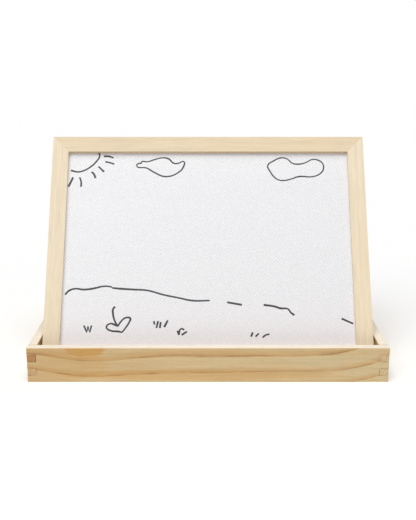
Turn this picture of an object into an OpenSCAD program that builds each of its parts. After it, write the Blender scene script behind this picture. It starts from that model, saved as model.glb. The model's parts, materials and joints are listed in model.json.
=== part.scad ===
// A tabletop easel for children: a shallow finger-jointed wooden tray, a framed
// whiteboard that tips up out of it on two side pins, and a folding prop behind the
// board whose rubber feet ride on a ledge along each side of the tray.
// Origin: middle of the underside. X to the right, Y to the back, Z up. Millimetres.

/* [Tray] */
// Outside width of the tray, left to right
tray_width = 400; // [320:5:560]
// Outside depth of the tray, front to back
tray_depth = 310; // [250:5:420]
// Height of the tray walls
tray_height = 40; // [36:1:60]
// Thickness of the tray walls
wall_thickness = 10; // [8:0.5:14]
// Number of fingers in each corner joint, an odd number
finger_count = 5; // [3:2:7]
// Thickness of the plywood floor
floor_thickness = 4; // [3:0.5:5]
// How far the floor is let into the underside of each wall
floor_rebate = 5; // [4:0.5:6]
// Width of the ledges that the prop's feet ride on
ledge_width = 10; // [8:0.5:14]
// Gap between the hinge axis and the front end of each ledge
ledge_setback = 20; // [16:1:40]

/* [Board] */
// Slope of the raised board, measured from the table
board_angle = 60; // [45:1:75]
// Gap between the board and the wall on each side
board_side_gap = 3; // [2:0.5:5]
// Gap between the folded board and the back wall
board_end_gap = 4; // [3:0.5:8]
// Gap that the board's lower corner keeps to the front wall as it swings
board_swing_gap = 1.5; // [1:0.25:4]
// Thickness of the board's frame
frame_thickness = 12; // [10:0.5:18]
// Width of the frame's four members
frame_width = 19; // [17:0.5:30]
// How far the frame stands in front of the writing surface
frame_lip = 5; // [3:0.5:6]
// Width of the rebate that holds the panels
panel_rebate = 8; // [6:0.5:9]
// Gap round the panels inside the rebate
panel_gap = 0.5; // [0.25:0.25:1.5]
// Thickness of the white dry-erase sheet
sheet_thickness = 1; // [0.8:0.1:1.5]
// Thickness of the hardboard behind the sheet
backing_thickness = 3; // [2:0.5:3.5]
// Length of board below the hinge axis
board_tail = 18; // [16:0.5:22]

/* [Hinge and prop] */
// Distance from the board's back face to the hinge axis
hinge_drop = 7; // [6.5:0.5:9]
// Diameter of the steel hinge pins and prop pins
pin_diameter = 5; // [3:0.5:6]
// Depth of the hinge pins in the side walls
pin_seat = 7; // [5:0.5:7]
// Radial running clearance of a pin in its bore
pin_clearance = 0.05; // [0.02:0.01:0.1]
// Radius of the rounded lugs that the pins pass through
lug_radius = 8; // [6:0.5:9]
// Width of the hinge lugs
hinge_lug_width = 14; // [10:0.5:16]
// Width of the prop lugs
prop_lug_width = 11; // [9:0.5:12]
// Thickness of the flange that is screwed to the frame
flange_thickness = 4; // [3:0.5:4.5]
// Gap between a lug and the piece that turns beside it
side_play = 0.5; // [0.3:0.1:1]
// Gap between the folded prop and the back wall
prop_end_gap = 4; // [3:0.5:8]
// Height of the prop's arms
arm_height = 12; // [8:0.5:12]
// Width of the prop's arms
arm_width = 12; // [10:0.5:18]
// Distance from the prop's pivot to its cross rail
cross_rail_offset = 56; // [40:1:70]
// Width of the prop's cross rail
cross_rail_width = 20; // [14:1:26]
// Diameter of the foot dowel
foot_diameter = 8; // [6:0.5:9]
// Outside diameter of the rubber sleeves on the foot dowel
sleeve_diameter = 12; // [10:0.5:13]
// Length of each rubber sleeve
sleeve_length = 7.5; // [6:0.5:9]
// Gap between the foot dowel and the side walls
foot_side_gap = 2; // [1.5:0.5:4]
// Gap that the feet keep above the ledges
foot_clearance = 0.1; // [0.05:0.05:0.3]

/* [Fasteners] */
// Shaft diameter of the floor nails
nail_diameter = 1.6; // [1.2:0.1:2]
// Head diameter of the floor nails
nail_head = 3.6; // [3:0.1:4]
// Length of the floor nails
nail_length = 14; // [10:1:20]
// How deep the nail heads are set below the underside
nail_set = 0.5; // [0.3:0.1:1]
// Floor nails along each front and back wall
nails_across = 5; // [3:1:9]
// Floor nails along each side wall
nails_along = 4; // [2:1:8]
// Shaft diameter of the wood screws
screw_diameter = 3; // [2.5:0.5:3.5]
// Head diameter of the wood screws
screw_head = 5.6; // [5:0.2:6]
// Height of the countersunk screw heads
screw_head_height = 2; // [1.5:0.25:2.5]
// Screws in each ledge
ledge_screw_count = 4; // [2:1:6]
// Depth that the ledge screws reach into the wall
ledge_screw_bite = 6; // [4:0.5:7]
// Depth that the block screws reach into the frame
block_screw_bite = 8; // [6:0.5:9]
// Length of the screws that hold the cross rail
cross_screw_length = 30; // [24:1:40]
// Diameter of the brads that hold the panels in
brad_diameter = 1.6; // [1.2:0.1:2]
// Length of the brads
brad_length = 12; // [8:1:14]
// Brads along the top and the bottom of the board
brads_across = 4; // [2:1:6]
// Brads along each side of the board
brads_along = 2; // [2:1:4]
// Length of the corner staples across each mitre
staple_length = 8; // [6:0.5:9]
// Depth of the corner staples
staple_depth = 6; // [4:0.5:8]
// Thickness of the corner staples
staple_thickness = 0.8; // [0.5:0.1:1.2]
// Distance of the corner staples from the board's corner, along each edge
staple_inset = 5.5; // [5:0.5:7]

/* [Hidden] */
$fn = 48;
cut = 1;                // how far a cutting shape runs past the face it cuts
half_width = tray_width / 2;
half_depth = tray_depth / 2;
inside_x = half_width - wall_thickness;
inside_y = half_depth - wall_thickness;
finger_height = tray_height / finger_count;

board_width = 2 * (inside_x - board_side_gap);
hinge_reach = hinge_drop + frame_thickness;       // hinge axis to the board's front face
hinge_z = tray_height - hinge_reach;              // the folded board is flush with the rim
swing_radius = sqrt(board_tail * board_tail + hinge_reach * hinge_reach);
hinge_y = swing_radius + board_swing_gap - inside_y;
board_end = inside_y - board_end_gap - hinge_y;   // board above the hinge axis
board_length = board_end + board_tail;
board_middle = (board_end - board_tail) / 2;
opening_width = board_width - 2 * frame_width;
opening_length = board_length - 2 * frame_width;
pocket_width = opening_width + 2 * panel_rebate;
pocket_length = opening_length + 2 * panel_rebate;
pocket_depth = frame_thickness - frame_lip;
lug_radius_fitted = min(lug_radius, board_tail - staple_inset - staple_length / 2);
sheet_front = hinge_reach - frame_lip;            // all three are heights above the hinge axis
sheet_back = sheet_front - sheet_thickness;
backing_back = sheet_back - backing_thickness;
pocket_edge = pocket_width / 2;

pin_radius = pin_diameter / 2;
bore_radius = pin_radius + pin_clearance;
hinge_lug_outer = board_width / 2 - side_play;
hinge_lug_inner = hinge_lug_outer - hinge_lug_width;
sleeve_radius = sleeve_diameter / 2;
arm_radius = arm_height / 2;
prop_length = (inside_y - prop_end_gap - sleeve_radius - hinge_y) / 2;
ledge_inner = inside_x - ledge_width;
ledge_top = hinge_z - sleeve_radius - foot_clearance;
ledge_front = hinge_y + ledge_setback;
ledge_middle_z = (floor_thickness + ledge_top) / 2;
prop_lug_outer = ledge_inner - side_play;
prop_lug_inner = prop_lug_outer - prop_lug_width;
arm_outer = prop_lug_inner - side_play;
arm_inner = arm_outer - arm_width;
pin_head_radius = pin_radius + 2;
pin_head_height = 1.5;
flange_outer = board_width / 2 - 1;
flange_screw_x = (pocket_edge + flange_outer) / 2;
hinge_flange_end = 34;                            // flange length above the hinge axis
hinge_flange_screws = [16, 27];
prop_flange_half = 20;                            // flange length each way from the pivot
prop_flange_screws = [-14, 14];
washer_radius = 6;
washer_bore_gap = 0.15;
nail_head_height = 1;
screw_tip_radius = 0.4;

pine = "#D9B98A";
pale_pine = "#EBD7B4";
birch = "#DCC39A";
laminate = "#ECECF0";
hardboard = "#8A6440";
steel = "#B9BBBE";
rubber = "#2B2B2D";
nylon = "#E8E6DF";

// ---- places ----------------------------------------------------------------

// The board's own axes: X across, Y up along the board, Z out of its face, from the hinge axis
module on_board() {
    translate([0, hinge_y, hinge_z])
        rotate([board_angle, 0, 0])
            children();
}

// The prop's own axes: Y from the pivot towards the foot dowel. It leans as steeply as the
// board, because both the hinge axis and the foot stay at one height.
module on_prop() {
    on_board()
        translate([0, prop_length, 0])
            rotate([-2 * board_angle, 0, 0])
                children();
}

// The same shape on both sides
module both_sides() {
    children();
    mirror([1, 0, 0]) children();
}

// A bar along X between two distances from the middle
module x_bar(from, to, radius) {
    translate([from, 0, 0])
        rotate([0, 90, 0])
            cylinder(h = to - from, r = radius);
}

// ---- fasteners -------------------------------------------------------------

// A countersunk wood screw that points along +Z, with its head's face at zero
module wood_screw(length) {
    cylinder(h = screw_head_height, r1 = screw_head / 2, r2 = screw_diameter / 2);
    cylinder(h = length - screw_diameter, r = screw_diameter / 2);
    translate([0, 0, length - screw_diameter])
        cylinder(h = screw_diameter, r1 = screw_diameter / 2, r2 = screw_tip_radius);
}

// A flat-headed nail that points up, with its head set above zero
module floor_nail() {
    translate([0, 0, nail_set]) {
        cylinder(h = nail_head_height, r = nail_head / 2);
        cylinder(h = nail_length, r = nail_diameter / 2);
    }
}

module floor_nail_places() {
    edge_x = inside_x + floor_rebate / 2;
    edge_y = inside_y + floor_rebate / 2;
    for (side = [-1, 1], i = [0 : nails_across - 1])
        translate([((i + 0.5) / nails_across - 0.5) * 2 * inside_x, side * edge_y, 0])
            children();
    for (side = [-1, 1], i = [0 : nails_along - 1])
        translate([side * edge_x, ((i + 0.5) / nails_along - 0.5) * 2 * inside_y, 0])
            children();
}

module ledge_screw_places() {
    span = inside_y - ledge_front;
    both_sides()
        for (i = [0 : ledge_screw_count - 1])
            translate([ledge_inner, ledge_front + span * (i + 0.5) / ledge_screw_count, ledge_middle_z])
                rotate([0, 90, 0])
                    children();
}

module block_screw_places() {
    face = hinge_drop - flange_thickness;
    both_sides() {
        for (along = hinge_flange_screws)
            translate([flange_screw_x, along, face])
                children();
        for (along = prop_flange_screws)
            translate([flange_screw_x, prop_length + along, face])
                children();
    }
}

module block_screw_shape() {
    wood_screw(flange_thickness + block_screw_bite);
}

module cross_screw_places() {
    both_sides()
        translate([arm_outer, cross_rail_offset + cross_rail_width / 2, 0])
            rotate([0, -90, 0])
                children();
}

// Brads lie flat against the back of the hardboard, half in the frame
module brad_places() {
    depth = backing_back - brad_diameter / 2;
    reach = brad_length / 2;
    for (side = [-1, 1], i = [0 : brads_across - 1])
        translate([((i + 0.5) / brads_across - 0.5) * opening_width,
                   board_middle + side * pocket_length / 2, depth])
            rotate([90, 0, 0])
                translate([0, 0, -reach])
                    children();
    for (side = [-1, 1], i = [0 : brads_along - 1])
        translate([side * pocket_edge,
                   board_middle + ((i + 0.5) / brads_along - 0.5) * opening_length, depth])
            rotate([0, 90, 0])
                translate([0, 0, -reach])
                    children();
}

module brad_shape() {
    cylinder(h = brad_length, r = brad_diameter / 2);
}

module staple_places() {
    for (side = [-1, 1], end = [-1, 1])
        translate([side * (board_width / 2 - staple_inset),
                   board_middle + end * (board_length / 2 - staple_inset), hinge_drop])
            rotate([0, 0, side * end * 45])
                children();
}

module staple_shape() {
    translate([-staple_length / 2, -staple_thickness / 2, 0])
        cube([staple_length, staple_thickness, staple_depth]);
}

// ---- tray ------------------------------------------------------------------

// The fingers of one corner, counted from the table; 0 gives the first, third and so on
module finger_blocks(first) {
    for (i = [first : 2 : finger_count - 1])
        translate([inside_x, inside_y, i * finger_height])
            cube([wall_thickness + cut, wall_thickness + cut, finger_height]);
}

module finger_corners(first) {
    both_sides() {
        finger_blocks(first);
        mirror([0, 1, 0]) finger_blocks(first);
    }
}

module floor_shape(gap = 0) {
    size_x = 2 * (inside_x + floor_rebate - gap);
    size_y = 2 * (inside_y + floor_rebate - gap);
    translate([-size_x / 2, -size_y / 2, 0])
        cube([size_x, size_y, floor_thickness]);
}

module end_wall() {
    difference() {
        translate([-half_width, inside_y, 0])
            cube([tray_width, wall_thickness, tray_height]);
        finger_corners(1);
        floor_shape();
        floor_nail_places() floor_nail();
    }
}

module side_wall() {
    difference() {
        translate([inside_x, -half_depth, 0])
            cube([wall_thickness, tray_depth, tray_height]);
        finger_corners(0);
        floor_shape();
        floor_nail_places() floor_nail();
        translate([0, hinge_y, hinge_z])
            x_bar(inside_x - cut, inside_x + pin_seat, pin_radius);
        ledge_screw_places() wood_screw(ledge_width + ledge_screw_bite);
    }
}

module tray_front_wall() { color(pine) mirror([0, 1, 0]) end_wall(); }
module tray_back_wall() { color(pine) end_wall(); }
module tray_left_wall() { color(pine) mirror([1, 0, 0]) side_wall(); }
module tray_right_wall() { color(pine) side_wall(); }

module tray_floor() {
    color(birch)
        difference() {
            floor_shape();
            floor_nail_places() {
                floor_nail();
                translate([0, 0, -cut]) cylinder(h = nail_set + 2 * cut, r = nail_head / 2);
            }
        }
}

module floor_nails() {
    color(steel) floor_nail_places() floor_nail();
}

module ledge() {
    difference() {
        translate([ledge_inner, ledge_front, floor_thickness])
            cube([ledge_width, inside_y - ledge_front, ledge_top - floor_thickness]);
        ledge_screw_places() wood_screw(ledge_width + ledge_screw_bite);
    }
}

module left_ledge() { color(pine) mirror([1, 0, 0]) ledge(); }
module right_ledge() { color(pine) ledge(); }

module ledge_screws() {
    color(steel) ledge_screw_places() wood_screw(ledge_width + ledge_screw_bite);
}

module hinge_pins() {
    color(steel)
        both_sides()
            translate([0, hinge_y, hinge_z])
                x_bar(hinge_lug_inner, inside_x + pin_seat, pin_radius);
}

module spacer_washers() {
    color(nylon)
        both_sides()
            translate([0, hinge_y, hinge_z])
                difference() {
                    x_bar(hinge_lug_outer + side_play, inside_x, washer_radius);
                    x_bar(hinge_lug_outer, inside_x + cut, pin_radius + washer_bore_gap);
                }
}

// ---- board -----------------------------------------------------------------

// One mitred frame member, centred on X, with its outer edge towards -Y at zero
module mitred_member(length) {
    linear_extrude(height = frame_thickness)
        polygon([
            [-length / 2, 0],
            [length / 2, 0],
            [length / 2 - frame_width, frame_width],
            [frame_width - length / 2, frame_width]
        ]);
}

module panel_pocket() {
    translate([-pocket_width / 2, board_middle - pocket_length / 2, hinge_drop - cut])
        cube([pocket_width, pocket_length, pocket_depth + cut]);
}

// Takes from a member what the panels and the fasteners need
module frame_member() {
    on_board()
        difference() {
            translate([0, 0, hinge_drop]) children();
            panel_pocket();
            brad_places() brad_shape();
            staple_places() staple_shape();
            block_screw_places() block_screw_shape();
        }
}

module side_member() {
    translate([board_width / 2, board_middle, 0])
        rotate([0, 0, 90])
            mitred_member(board_length);
}

module board_bottom_rail() {
    color(pale_pine)
        frame_member()
            translate([0, -board_tail, 0])
                mitred_member(board_width);
}

module board_top_rail() {
    color(pale_pine)
        frame_member()
            translate([0, board_end, 0])
                mirror([0, 1, 0])
                    mitred_member(board_width);
}

module board_right_stile() { color(pale_pine) frame_member() side_member(); }
module board_left_stile() { color(pale_pine) frame_member() mirror([1, 0, 0]) side_member(); }

module corner_staples() {
    color(steel) on_board() staple_places() staple_shape();
}

module panel(back, thickness) {
    size_x = pocket_width - 2 * panel_gap;
    size_y = pocket_length - 2 * panel_gap;
    on_board()
        translate([-size_x / 2, board_middle - size_y / 2, back])
            cube([size_x, size_y, thickness]);
}

module whiteboard_sheet() { color(laminate) panel(sheet_back, sheet_thickness); }
module backing_board() { color(hardboard) panel(backing_back, backing_thickness); }
module backing_brads() { color(steel) on_board() brad_places() brad_shape(); }

// A round lug on a pin, standing on the back of the frame
module lug(inner, outer) {
    width = outer - inner;
    difference() {
        union() {
            x_bar(inner, outer, lug_radius_fitted);
            translate([inner, -lug_radius_fitted, 0])
                cube([width, 2 * lug_radius_fitted, hinge_drop]);
        }
        translate([inner - cut, -lug_radius_fitted - cut, hinge_drop])
            cube([width + 2 * cut, 2 * (lug_radius_fitted + cut), lug_radius_fitted]);
    }
}

module hinge_block() {
    difference() {
        union() {
            lug(hinge_lug_inner, hinge_lug_outer);
            translate([hinge_lug_inner, 0, hinge_drop - flange_thickness])
                cube([flange_outer - hinge_lug_inner, hinge_flange_end, flange_thickness]);
        }
        x_bar(hinge_lug_inner - cut, hinge_lug_outer + cut, bore_radius);
        block_screw_places() block_screw_shape();
    }
}

module prop_block() {
    difference() {
        union() {
            translate([0, prop_length, 0])
                lug(prop_lug_inner, prop_lug_outer);
            translate([prop_lug_inner, prop_length - prop_flange_half, hinge_drop - flange_thickness])
                cube([flange_outer - prop_lug_inner, 2 * prop_flange_half, flange_thickness]);
        }
        translate([0, prop_length, 0])
            x_bar(prop_lug_inner - cut, prop_lug_outer + cut, pin_radius);
        block_screw_places() block_screw_shape();
    }
}

module left_hinge_block() { color(pine) on_board() mirror([1, 0, 0]) hinge_block(); }
module right_hinge_block() { color(pine) on_board() hinge_block(); }
module left_prop_block() { color(pine) on_board() mirror([1, 0, 0]) prop_block(); }
module right_prop_block() { color(pine) on_board() prop_block(); }

module block_screws() {
    color(steel) on_board() block_screw_places() block_screw_shape();
}

module prop_pins() {
    color(steel)
        on_board()
            both_sides()
                translate([0, prop_length, 0]) {
                    x_bar(arm_inner - side_play, prop_lug_outer, pin_radius);
                    x_bar(arm_inner - side_play - pin_head_height, arm_inner - side_play, pin_head_radius);
                }
}

// ---- prop ------------------------------------------------------------------

module prop_arm() {
    difference() {
        union() {
            x_bar(arm_inner, arm_outer, arm_radius);
            translate([0, prop_length, 0])
                x_bar(arm_inner, arm_outer, arm_radius);
            translate([arm_inner, 0, -arm_radius])
                cube([arm_width, prop_length, arm_height]);
        }
        x_bar(arm_inner - cut, arm_outer + cut, bore_radius);
        translate([0, prop_length, 0])
            x_bar(arm_inner - cut, arm_outer + cut, foot_diameter / 2);
        cross_screw_places() wood_screw(cross_screw_length);
    }
}

module prop_left_arm() { color(pine) on_prop() mirror([1, 0, 0]) prop_arm(); }
module prop_right_arm() { color(pine) on_prop() prop_arm(); }

module prop_cross_rail() {
    color(pine)
        on_prop()
            difference() {
                translate([-arm_inner, cross_rail_offset, -arm_radius])
                    cube([2 * arm_inner, cross_rail_width, arm_height]);
                cross_screw_places() wood_screw(cross_screw_length);
            }
}

module cross_rail_screws() {
    color(steel) on_prop() cross_screw_places() wood_screw(cross_screw_length);
}

module foot_dowel() {
    end = inside_x - foot_side_gap;
    color(birch)
        on_prop()
            translate([0, prop_length, 0])
                x_bar(-end, end, foot_diameter / 2);
}

module foot_sleeves() {
    end = inside_x - foot_side_gap;
    color(rubber)
        on_prop()
            both_sides()
                translate([0, prop_length, 0])
                    difference() {
                        x_bar(end - sleeve_length, end, sleeve_radius);
                        x_bar(end - sleeve_length - cut, end + cut, foot_diameter / 2);
                    }
}

// ---- one line per node -----------------------------------------------------

tray_front_wall();
tray_back_wall();
tray_left_wall();
tray_right_wall();
tray_floor();
floor_nails();
left_ledge();
right_ledge();
ledge_screws();
hinge_pins();
spacer_washers();
board_top_rail();
board_bottom_rail();
board_left_stile();
board_right_stile();
corner_staples();
whiteboard_sheet();
backing_board();
backing_brads();
left_hinge_block();
right_hinge_block();
left_prop_block();
right_prop_block();
block_screws();
prop_pins();
prop_left_arm();
prop_right_arm();
prop_cross_rail();
cross_rail_screws();
foot_dowel();
foot_sleeves();
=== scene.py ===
"""A tabletop easel for children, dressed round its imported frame.

A finger-jointed pine tray, a mitred pine frame that holds a whiteboard, and a folding prop.
Lengths are in metres unless a name or comment says millimetres.
"""
import json
import math
import random

import bmesh
import bpy
from bpy.props import FloatProperty, FloatVectorProperty, PointerProperty
from mathutils import Euler, Matrix, Vector


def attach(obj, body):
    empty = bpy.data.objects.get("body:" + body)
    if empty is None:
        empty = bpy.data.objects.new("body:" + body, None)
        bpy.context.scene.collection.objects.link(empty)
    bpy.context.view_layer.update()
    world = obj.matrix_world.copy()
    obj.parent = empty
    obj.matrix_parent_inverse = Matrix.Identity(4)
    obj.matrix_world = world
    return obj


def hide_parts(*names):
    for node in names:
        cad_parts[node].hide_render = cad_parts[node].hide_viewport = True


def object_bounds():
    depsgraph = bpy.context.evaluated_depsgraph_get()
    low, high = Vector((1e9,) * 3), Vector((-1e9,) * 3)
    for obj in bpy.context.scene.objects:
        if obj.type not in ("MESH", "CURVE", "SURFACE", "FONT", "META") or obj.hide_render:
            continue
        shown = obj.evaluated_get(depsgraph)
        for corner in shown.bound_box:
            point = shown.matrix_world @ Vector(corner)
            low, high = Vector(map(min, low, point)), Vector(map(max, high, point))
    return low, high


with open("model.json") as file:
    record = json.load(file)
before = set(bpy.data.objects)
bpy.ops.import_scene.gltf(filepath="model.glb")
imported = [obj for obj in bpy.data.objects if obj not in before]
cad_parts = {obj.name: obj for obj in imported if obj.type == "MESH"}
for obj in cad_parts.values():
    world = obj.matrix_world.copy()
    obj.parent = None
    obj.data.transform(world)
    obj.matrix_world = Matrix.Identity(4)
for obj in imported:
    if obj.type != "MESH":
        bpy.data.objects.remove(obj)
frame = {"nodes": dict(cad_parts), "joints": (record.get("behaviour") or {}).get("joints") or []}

bl_info = {
    "name": "Kids Easel",
    "version": (1, 0, 0),
    "blender": (4, 5, 0),
    "location": "View3D > Sidebar > Easel",
    "description": "Builds a tabletop easel for children round its packed frame",
    "category": "Object",
}

MM = 0.001
CAD_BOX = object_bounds()
JOINTS = {joint["name"]: joint for joint in frame["joints"]}

# Where the board and the prop stand: the axes of each, with Y up the board or down the prop
SLOPE = -math.radians(JOINTS["board_tilt"]["range_deg"][0])
TRAY = Matrix.Identity(4)
BOARD = Matrix.Translation(JOINTS["board_tilt"]["pos_m"]) @ Matrix.Rotation(SLOPE, 4, "X")
PROP = Matrix.Translation(JOINTS["prop_fold"]["pos_m"]) @ Matrix.Rotation(-SLOPE, 4, "X")
ALONG_X = 0.0
ALONG_Y = math.pi / 2

WELD = 0.001 * MM  # points this close become one
FLAT = math.radians(1)  # edges that turn less than this go
FINGERS = 5  # fingers in each corner joint of the tray
LOW_FINGER = 20 * MM  # fingers with their middle below this height are paler
LOW_FINGER_TINT = 0.3
# Painted shade on the inner face of the top rail's lip, as a share of the end-grain tint
LIP_PAINTED_SHADE = 0.6
PANEL_GAP = 0.5 * MM  # between the panels and the frame
FLANGE = 4 * MM  # thickness of a block's flange
PROP_LUG = 11 * MM  # width of a prop block's lug
HINGE_FLANGE_INSET = 0.5 * MM  # from the outer face of a hinge block's lug to its flange
SCREW_HEAD = 2.8 * MM  # radius
SCREW_SHAFT = 1.5 * MM  # radius
SCREW_SINK = 2.0 * MM  # height of the countersunk head
SCREW_TIP = 2.0 * MM  # length of the point
DOWEL_CHAMFER = 0.8 * MM
SLEEVE_RIM = 1.0 * MM  # rounding of the rubber sleeves
SLEEVE_GROOVE = 0.4 * MM
INK_FLATNESS = 0.06  # height of a marker line as a share of its width
CLOUD_WEIGHT = 0.8  # width of a cloud's line as a share of the others
THREAD = 3.0  # spacing of the writing surface's weave, in millimetres
SCREEN = 1.6  # spacing of the hardboard's screen pattern, in millimetres
FLOOR_RADIUS = 12.0


def srgb(red, green, blue):
    """A colour given in 0 to 255 steps, as the linear values that shaders use."""
    steps = [step / 255 for step in (red, green, blue)]
    return tuple(s / 12.92 if s <= 0.04045 else ((s + 0.055) / 1.055) ** 2.4 for s in steps)


# ---- settings ------------------------------------------------------------------------------


def colour(name, description, default):
    """A colour setting."""
    return FloatVectorProperty(
        name=name, description=description, subtype="COLOR", min=0.0, max=1.0, default=default
    )


def length(name, description, default):
    """A length setting, in metres."""
    return FloatProperty(name=name, description=description, unit="LENGTH", default=default)


class EaselWood(bpy.types.PropertyGroup):
    """Colours and edges of the wooden pieces."""

    tray_early: colour("Tray early wood", "Light wood of the tray", srgb(213, 191, 147))
    tray_late: colour("Tray late wood", "Dark growth lines of the tray", srgb(148, 98, 48))
    tray_amber: colour("Tray amber", "Resin-rich bands of the tray", srgb(206, 158, 88))
    # Painted light: the pale, lit look of the tray's upward faces
    tray_painted_light: colour("Tray planed edge", "Pale planed top edge", srgb(245, 236, 219))
    frame_early: colour("Frame early wood", "Light wood of the board's frame", srgb(223, 205, 174))
    frame_late: colour("Frame late wood", "Dark growth lines of the frame", srgb(220, 194, 154))
    frame_amber: colour("Frame amber", "Resin-rich bands of the frame", srgb(230, 207, 168))
    # Pale tone that the stiles lean towards, and painted light on the lips of the stiles and the bottom
    # rail
    frame_pale_and_painted_light: colour("Frame planed edge", "Pale planed edge", srgb(238, 226, 204))
    # The end-grain tint also paints shade on the inner face of the top rail's lip
    end_grain_and_shade: colour("End grain", "Tint of wood cut across the grain", srgb(224, 182, 136))
    seam: colour("Seam", "Glue line between fingers", srgb(92, 60, 36))
    edge_radius: length("Edge radius", "Rounding of sanded edges", 0.6 * MM)
    frame_radius: length("Frame radius", "Rounding of the board frame's long edges", 0.9 * MM)
    joint_radius: length("Joint radius", "Rounding of the edges in a glued joint", 0.3 * MM)


class EaselBoard(bpy.types.PropertyGroup):
    """The writing surface and what is drawn on it."""

    sheet: colour("Sheet", "Colour of the writing surface", srgb(229, 229, 231))
    ink: colour("Ink", "Colour of the marker", srgb(34, 35, 38))
    line_width: length("Line width", "Width of a marker line", 2.3 * MM)


class EaselStage(bpy.types.PropertyGroup):
    """Camera, lights and floor."""

    floor: colour("Floor", "Colour of the floor", srgb(255, 255, 255))
    camera_distance: length("Camera distance", "From the tray's front face to the camera", 0.818)
    camera_height: length("Camera height", "From the tray's rim to the camera", 0.3214)
    camera_dip: FloatProperty(
        name="Camera dip", description="How far the camera looks down", subtype="ANGLE",
        default=math.radians(15.12),
    )
    lens: FloatProperty(name="Lens", description="Focal length in millimetres", default=55.06)
    key_power: FloatProperty(name="Key power", description="Key light, W per m2", default=0.66)
    top_power: FloatProperty(name="Top power", description="Top light, W per m2", default=1.97)
    surround: FloatProperty(name="Surround", description="Strength of the even light", default=0.3)


# ---- places and sizes from the frame -------------------------------------------------------


def corners(points):
    """Lowest and highest corner of the box round some points."""
    return tuple(Vector([pick(p[axis] for p in points) for axis in range(3)]) for pick in (min, max))


def limits(node, place):
    """Lowest and highest corner of a CAD node along the axes of a place."""
    back = place.inverted()
    return corners([back @ vertex.co for vertex in frame["nodes"][node].data.vertices])


def solids(node, place):
    """Middle and size of each separate solid of a CAD node along the axes of a place."""
    bm = bmesh.new()
    bm.from_mesh(frame["nodes"][node].data)
    bmesh.ops.remove_doubles(bm, verts=bm.verts, dist=WELD)
    back = place.inverted()
    left = set(bm.verts)
    found = []
    while left:
        to_visit = [left.pop()]
        points = []
        while to_visit:
            vertex = to_visit.pop()
            points.append(back @ vertex.co)
            beside = {edge.other_vert(vertex) for edge in vertex.link_edges} & left
            left -= beside
            to_visit += beside
        low, high = corners(points)
        found.append(((low + high) / 2, high - low))
    bm.free()
    return sorted(found, key=lambda solid: tuple(round(value, 5) for value in solid[0]))


# ---- modelling -----------------------------------------------------------------------------


def box(low, high):
    """A rectangular block between two corners."""
    bm = bmesh.new()
    bmesh.ops.create_cube(bm, size=1.0)
    bmesh.ops.scale(bm, vec=high - low, verts=bm.verts)
    bmesh.ops.translate(bm, vec=(low + high) / 2, verts=bm.verts)
    return bm


def sharp_edges(bm, angle=30.0):
    """Edges whose faces meet at more than an angle in degrees."""
    return [edge for edge in bm.edges if edge.calc_face_angle(0.0) > math.radians(angle)]


def round_edges(bm, edges, radius, segments=3):
    """Rounds edges, and shades only the new strips smooth."""
    made = bmesh.ops.bevel(
        bm, geom=edges, offset=radius, offset_type="OFFSET", affect="EDGES", segments=segments,
        profile=0.5, clamp_overlap=True, material=-1,
    )
    for face in made["faces"]:
        face.smooth = True


def soften(bm, radius, segments=3):
    """Sands every sharp edge of a piece."""
    round_edges(bm, sharp_edges(bm), radius, segments)


def mark_cuts_and_painted_light(bm, grain, upright=False):
    """Notes on each face if it cuts across the grain, and on upright pieces paints light on the faces that
    face up.
    """
    cut = bm.faces.layers.float.new("end_grain_and_shade")
    painted_light = bm.faces.layers.float.new("painted_light")
    for face in bm.faces:
        if abs(face.normal.dot(grain)) > 0.7:
            low_finger = upright and face.calc_center_median().z < LOW_FINGER
            face[cut] = LOW_FINGER_TINT if low_finger else 1.0
        # Painted light: the upward faces of upright pieces are paled as if lit from above
        if upright and face.normal.z > 0.8:
            face[painted_light] = 1.0


def mark_lip(bm, shaded):
    """Paints shade (brown) or light (pale) on the inner face of a frame member's lip, which faces Y."""
    layer = bm.faces.layers.float["end_grain_and_shade" if shaded else "painted_light"]
    for face in bm.faces:
        if face.normal.y > 0.8:
            face[layer] = LIP_PAINTED_SHADE if shaded else 1.0


def mesh_of(bm, name):
    """A mesh from a bmesh, which is then freed."""
    mesh = bpy.data.meshes.new(name)
    bm.to_mesh(mesh)
    bm.free()
    return mesh


def combine(bm, other, operation):
    """Cuts another shape from a bmesh, or adds it, with an exact boolean."""
    body = bpy.data.objects.new("body", mesh_of(bm, "body"))
    tool = bpy.data.objects.new("tool", mesh_of(other, "tool"))
    for thing in (body, tool):
        bpy.context.scene.collection.objects.link(thing)
    modifier = body.modifiers.new("combine", "BOOLEAN")
    modifier.object = tool
    modifier.operation = operation
    modifier.solver = "EXACT"
    bpy.context.view_layer.update()
    shaped = body.evaluated_get(bpy.context.evaluated_depsgraph_get())
    result = bmesh.new()
    result.from_mesh(shaped.to_mesh())
    shaped.to_mesh_clear()
    for thing in (body, tool):
        mesh = thing.data
        bpy.data.objects.remove(thing)
        bpy.data.meshes.remove(mesh)
    bmesh.ops.remove_doubles(result, verts=result.verts, dist=WELD)
    bmesh.ops.dissolve_limit(result, angle_limit=FLAT, verts=result.verts, edges=result.edges)
    return result


def piece(bm, name, place, body, slot, material, *nodes):
    """Puts a finished bmesh in its place as a piece that rides on a body."""
    bmesh.ops.recalc_face_normals(bm, faces=bm.faces)
    bmesh.ops.transform(bm, matrix=place, verts=bm.verts)
    made = bpy.data.objects.new(name, mesh_of(bm, name))
    made.data.materials.append(material)
    bpy.context.scene.collection.objects.link(made)
    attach(made, body)
    if nodes:
        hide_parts(*nodes)
    return made


def finish_node(node, material):
    """Gives a CAD node whose shape is right a better material."""
    mesh = frame["nodes"][node].data
    mesh.materials.clear()
    mesh.materials.append(material)


# ---- shader building -----------------------------------------------------------------------


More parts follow.
